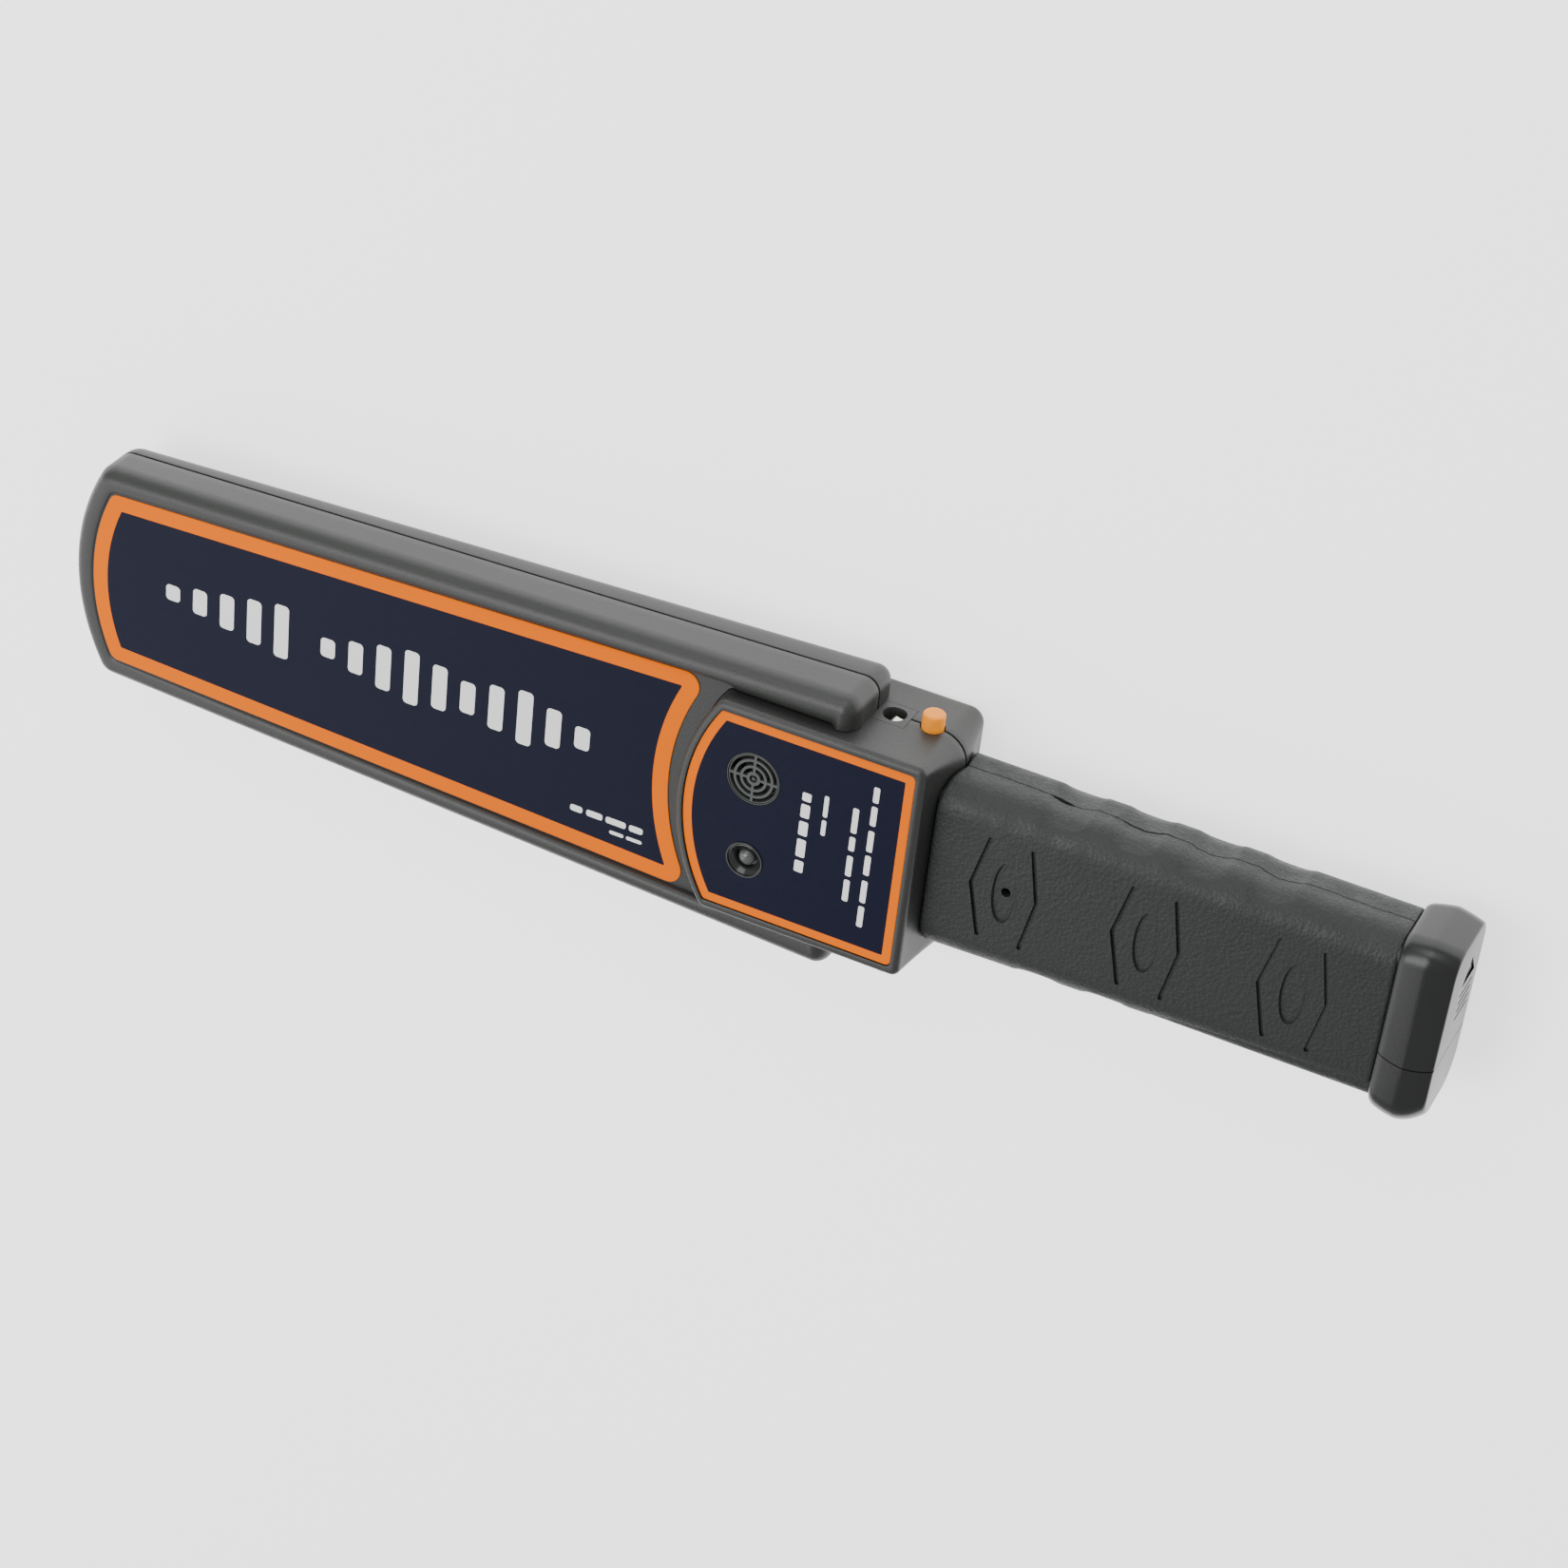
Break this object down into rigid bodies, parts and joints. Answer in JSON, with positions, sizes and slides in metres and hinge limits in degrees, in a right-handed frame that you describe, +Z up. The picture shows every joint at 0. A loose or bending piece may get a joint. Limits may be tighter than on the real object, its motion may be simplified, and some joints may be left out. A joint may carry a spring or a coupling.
{
  "type": "hand-held metal detector wand",
  "caption": "Hand-held security metal-detector wand: flat tapered sensing paddle, raised control box with lamp, speaker, side button and socket, rubber grip and battery end cap.",
  "frame": {"origin": "bottom centre of the whole wand as it lies on its back", "axes": "+X from the paddle's tip to the handle's end cap, +Y towards the side with the push button and the charging socket, +Z up out of the label side"},
  "size_m": [0.409, 0.0858, 0.037],
  "materials": {
    "shell_plastic": "satin, finely textured",
    "cap_plastic": "semi-gloss",
    "grip_rubber": "matt, fine grain",
    "label_film": "satin film with orange border and pale print",
    "plate_film": "satin metallised film",
    "black_plastic": "matt",
    "black_foam": "matt foam",
    "grey_foam": "matt foam",
    "lamp_plastic": "tinted, diffusing",
    "button_plastic": "satin orange",
    "socket_plastic": "matt",
    "steel_wire": "polished",
    "contact_metal": "bright tinned",
    "switch_metal": "satin",
    "board_laminate": "green solder mask",
    "chip_plastic": "matt",
    "capacitor_can": "blue sleeve",
    "screw_steel": "zinc plated",
    "trimmer_plastic": "blue",
    "trimmer_brass": "bright",
    "motor_can": "satin",
    "tungsten": "sintered",
    "former_sheet": "fibre sheet",
    "copper_winding": "enamelled copper",
    "battery_can": "plain printed can",
    "red_insulation": "PVC",
    "black_insulation": "PVC",
    "grey_insulation": "PVC"
  },
  "bodies": {
    "housing": {"front_shell": "shell_plastic", "rear_shell": "shell_plastic", "main_label": "label_film", "control_label": "label_film", "rating_plate": "plate_film", "grip_sleeve": "grip_rubber", "end_collar": "cap_plastic", "speaker_grille": "black_plastic", "speaker_gasket": "black_foam", "buzzer": "chip_plastic", "lamp_bezel": "black_plastic", "indicator_lamp": "lamp_plastic", "button_spring": "steel_wire", "button_switch": "chip_plastic", "socket_housing": "socket_plastic", "socket_pin": "steel_wire", "socket_spring_contact": "contact_metal", "mode_switch_body": "switch_metal", "main_board": "board_laminate", "logic_chip": "chip_plastic", "amplifier_chip": "chip_plastic", "board_capacitors": "capacitor_can", "board_screws": "screw_steel", "case_screws": "screw_steel", "trimmer_body": "trimmer_plastic", "vibration_motor": "motor_can", "motor_clip": "black_plastic", "coil_former": "former_sheet", "transmit_coil": "copper_winding", "receive_coil_tip": "copper_winding", "receive_coil_box": "copper_winding", "coil_foam": "grey_foam", "coil_leads": "grey_insulation", "battery_case": "battery_can", "battery_terminals": "steel_wire", "battery_snap": "chip_plastic", "battery_lead_red": "red_insulation", "battery_lead_black": "black_insulation"},
    "button": {"button_cap": "button_plastic"},
    "mode_switch": {"mode_switch_knob": "black_plastic"},
    "battery_door": {"battery_door": "cap_plastic", "door_pad": "black_foam"},
    "trimmer": {"trimmer_screw": "trimmer_brass"},
    "motor_weight": {"vibration_weight": "tungsten"}
  },
  "joints": [
    {"name": "button_press", "type": "slide", "parent": "housing", "child": "button", "axis": [0, -1, 0], "range_m": [0, 0.0015], "stiffness_N_per_m": 300, "springref_m": -0.002, "deforming": ["button_spring"]},
    {"name": "mode_slide", "type": "slide", "parent": "housing", "child": "mode_switch", "axis": [1, 0, 0], "range_m": [-0.0025, 0.0025]},
    {"name": "door_slide", "type": "slide", "parent": "housing", "child": "battery_door", "axis": [0, 1, 0], "range_m": [0, 0.038]},
    {"name": "trimmer_turn", "type": "hinge", "parent": "housing", "child": "trimmer", "pos_m": [0.0854, 0, 0.0201], "axis": [0, 0, 1], "range_deg": [-135, 135]},
    {"name": "weight_spin", "type": "hinge", "parent": "housing", "child": "motor_weight", "pos_m": [0.1266, -0.013, 0.017], "axis": [1, 0, 0], "continuous": true}
  ]
}
